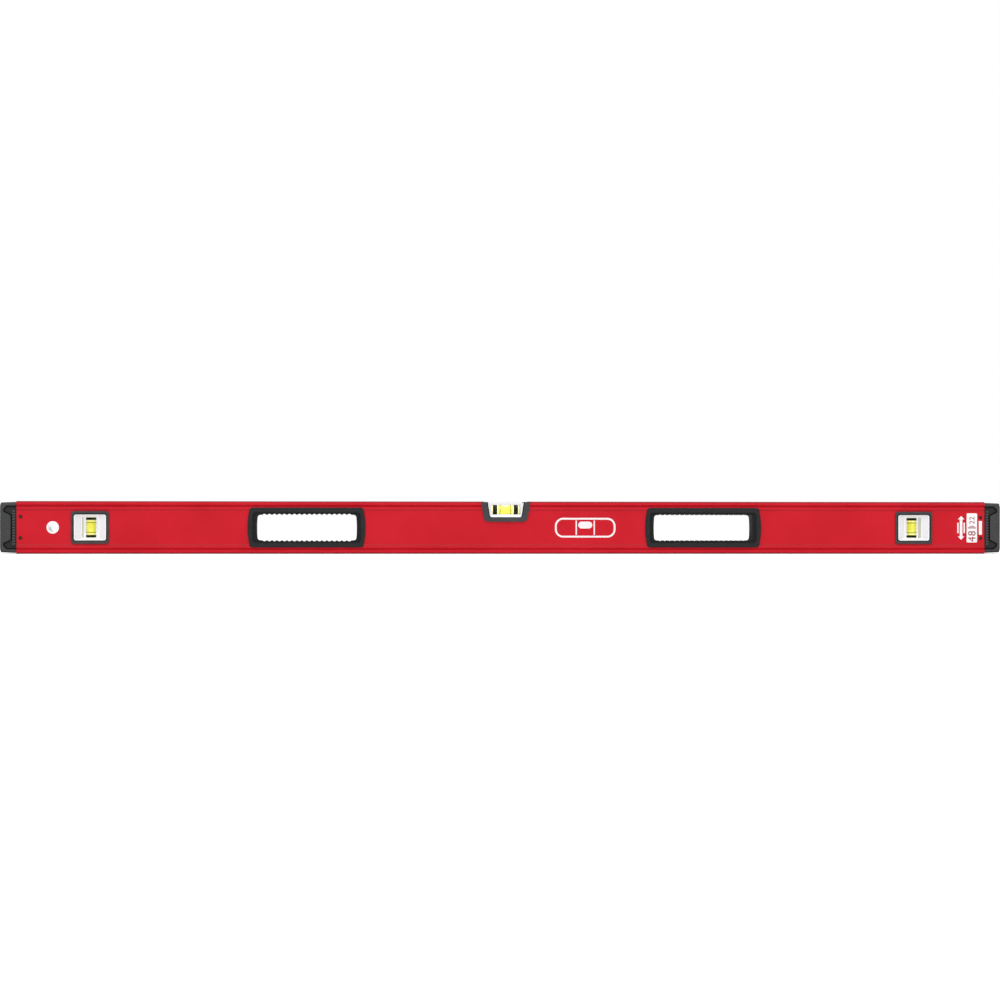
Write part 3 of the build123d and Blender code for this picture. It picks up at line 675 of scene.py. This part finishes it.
window_plastic = clear_plastic("window_plastic", rgb(72, 78, 78), 0.02, 0.12)
block_plastic = clear_plastic("block_plastic", rgb(76, 86, 74), 0.03, 0.08)
plug_plastic = clear_plastic("plug_plastic", rgb(196, 204, 150), 0.3, 0.1)

for side in SIDES:
    use(cap_plastic, f"{side}_cap_core")
    use(cap_rubber, f"{side}_cap_bumper")
    use(pad_rubber, f"{side}_cap_end_pad")
    use(steel, f"{side}_cap_snap_clips")
    use(grip_plastic, f"{side}_grip_front_shell", f"{side}_grip_back_shell")
    use(grip_rubber, f"{side}_grip_liner")
    use(frame_plastic, f"{side}_plumb_bezel_back", f"{side}_plumb_bezel_front")
    use(window_plastic, f"{side}_plumb_lens_back", f"{side}_plumb_lens_front")
    use(carrier_plastic, f"{side}_plumb_carrier_back", f"{side}_plumb_carrier_front")
    use(block_plastic, f"{side}_plumb_vial")
    use(plug_plastic, f"{side}_plumb_vial_plug")
use(frame_plastic, "centre_bezel_back", "centre_bezel_front")
use(window_plastic, "centre_lens_back", "centre_lens_front")
use(carrier_plastic, "centre_carrier")
use(block_plastic, "centre_vial")
use(plug_plastic, "centre_vial_plug")

use(level_bands("centre_bands", "X", 0.0, LINE_OFFSET["centre"]), "centre_level_bands")
plumb_bands = level_bands("plumb_bands", "Z", MID_HEIGHT, LINE_OFFSET["plumb"])
use(plumb_bands, "left_plumb_level_bands", "right_plumb_level_bands")

low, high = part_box("centre_bubble")
bubble_top = high[2]
bubble_centre = ((low[0] + high[0]) / 2, 0.0, bubble_top + BUBBLE_RISE)
use(air_bubble("centre_bubble_air", bubble_centre, 6.8 * MM, 0.9 * MM), "centre_bubble")
for side in SIDES:
    low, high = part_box(f"{side}_plumb_bubble")
    middle = [(a + b) / 2 for a, b in zip(low, high)]
    radius = (high[0] - low[0]) / 2
    air = air_bubble(f"{side}_plumb_bubble_air", middle, radius, 0.5 * MM, flat_axis="Z")
    use(air, f"{side}_plumb_bubble")

# ---------------------------------------------------------------- liquids
liquid_column(
    "centre_liquid",
    False,
    COLUMN_INSET,
    vial_liquid("centre_vial_liquid", "X", 0.0, LINE_OFFSET["centre"], CENTRE_GLOW, CENTRE_TIP),
)
plumb_liquid = vial_liquid("plumb_vial_liquid", "Z", MID_HEIGHT, LINE_OFFSET["plumb"], PLUMB_GLOW)
for side in SIDES:
    liquid_column(f"{side}_plumb_liquid", True, COLUMN_INSET, plumb_liquid)

# ---------------------------------------------------------------- prints on the front
white_ink = printed("white_ink", rgb(250, 247, 248), rgb(240, 236, 238), 0.45)
red_ink = printed("dark_red_ink", rgb(150, 28, 44), rgb(128, 20, 34), 0.45)

ARROW_X = 560.5 * MM
ARROW_BAR_OFFSET = 3.9 * MM
SNAP_BAR_X = 584.5 * MM
arrow = outline_plate(double_arrow(29.3 * MM, 3.4 * MM, 8.2 * MM, 4.2 * MM))
print_on_front("direction_arrow", arrow, ARROW_X, MID_HEIGHT, white_ink)
for side, way in zip(SIDES, (-1, 1)):
    bar = round_plate(1.7 * MM, 13.0 * MM, 0.3 * MM, 3)
    x = ARROW_X + way * ARROW_BAR_OFFSET
    print_on_front(f"arrow_bar_{side}", bar, x, MID_HEIGHT, white_ink)
bar = round_plate(4.0 * MM, 17.0 * MM, 0.5 * MM, 3)
print_on_front("snap_hole_bar", bar, SNAP_BAR_X, MID_HEIGHT, white_ink)

label_low, label_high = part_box("size_label")
label_x = (label_low[0] + label_high[0]) / 2
label_face = -label_low[1]
digits("label_inches", "48", 9.2 * MM, label_x, MID_HEIGHT - 10.4 * MM, red_ink, label_face)
digits("label_centimetres", "122", 6.3 * MM, label_x, MID_HEIGHT + 7.6 * MM, red_ink, label_face)
rule = round_plate(10.4 * MM, 1.2 * MM, 0.3 * MM, 2)
print_on_front("label_rule", rule, label_x, MID_HEIGHT, red_ink, label_face, FIGURE_THICKNESS)

# A plain picture of a vial stands beside the centre window.
PICTURE_X = 97 * MM
PICTURE_LINE_OFFSET = 11 * MM
capsule = round_ring(74 * MM, 24 * MM, 10 * MM, 2.2 * MM)
print_on_front("picture_vial", capsule, PICTURE_X, MID_HEIGHT, white_ink)
for side, way in zip(SIDES, (-1, 1)):
    line = round_plate(1.6 * MM, 17.6 * MM, 0.3 * MM, 3)
    x = PICTURE_X + way * PICTURE_LINE_OFFSET
    print_on_front(f"picture_line_{side}", line, x, MID_HEIGHT, white_ink)
bubble = round_plate(17 * MM, 8.4 * MM, 4.1 * MM, 10)
print_on_front("picture_bubble", bubble, PICTURE_X, MID_HEIGHT + 3.2 * MM, white_ink)

# ---------------------------------------------------------------- floor, light and camera
scene = bpy.context.scene
ground = bmesh.new()
bmesh.ops.create_grid(ground, x_segments=1, y_segments=1, size=12)
floor_mesh = bpy.data.meshes.new("floor")
ground.to_mesh(floor_mesh)
ground.free()
floor_mesh.materials.append(pale_floor())
floor = bpy.data.objects.new("floor", floor_mesh)
scene.collection.objects.link(floor)

SUN_HEIGHT = math.radians(60)
sun_data = bpy.data.lights.new("overhead_softbox", "SUN")
sun_data.energy = 1.5
sun_data.angle = math.radians(70)
sun = bpy.data.objects.new("overhead_softbox", sun_data)
scene.collection.objects.link(sun)
sun_way = Vector((0.12, math.cos(SUN_HEIGHT), -math.sin(SUN_HEIGHT)))
sun.rotation_euler = sun_way.to_track_quat("-Z", "Y").to_euler()

world = bpy.data.worlds.new("studio")
world.use_nodes = True
scene.world = world
backdrop = world.node_tree.nodes["Background"]
backdrop.inputs["Color"].default_value = (1, 1, 1, 1)
made = world.node_tree.nodes.new
join = world.node_tree.links.new
direction = made("ShaderNodeTexCoord").outputs["Generated"]
split = made("ShaderNodeSeparateXYZ")
join(direction, split.inputs["Vector"])
sky = made("ShaderNodeMapRange")  # dim at the horizon and bright overhead, as under a large softbox
sky.interpolation_type = "SMOOTHSTEP"
for socket, value in (("From Min", 0.1), ("From Max", 1.0), ("To Min", 0.2), ("To Max", 1.15)):
    sky.inputs[socket].default_value = value
join(split.outputs["Z"], sky.inputs["Value"])
plain_behind = made("ShaderNodeMath")  # pure white where the camera looks past the level
plain_behind.operation = "MAXIMUM"
join(made("ShaderNodeLightPath").outputs["Is Camera Ray"], plain_behind.inputs[0])
join(sky.outputs["Result"], plain_behind.inputs[1])
join(plain_behind.outputs["Value"], backdrop.inputs["Strength"])
scene.view_settings.view_transform = "Standard"

LENS_DISTANCE = 2.875
LENS_TURN = math.radians(3.11)
LENS_ROLL = math.radians(0.03)
aim = Vector((-0.007, -0.0123, MID_HEIGHT))
spot = aim - LENS_DISTANCE * Vector((math.sin(LENS_TURN), math.cos(LENS_TURN), 0))
camera_data = bpy.data.cameras.new("camera")
camera_data.lens = 85.115
camera_data.sensor_width = 36
camera_data.shift_y = 0.02765
camera = bpy.data.objects.new("camera", camera_data)
scene.collection.objects.link(camera)
camera.location = spot
camera.rotation_euler = (aim - spot).to_track_quat("-Z", "Y").to_euler()
camera.rotation_euler.rotate_axis("Z", LENS_ROLL)
scene.camera = camera
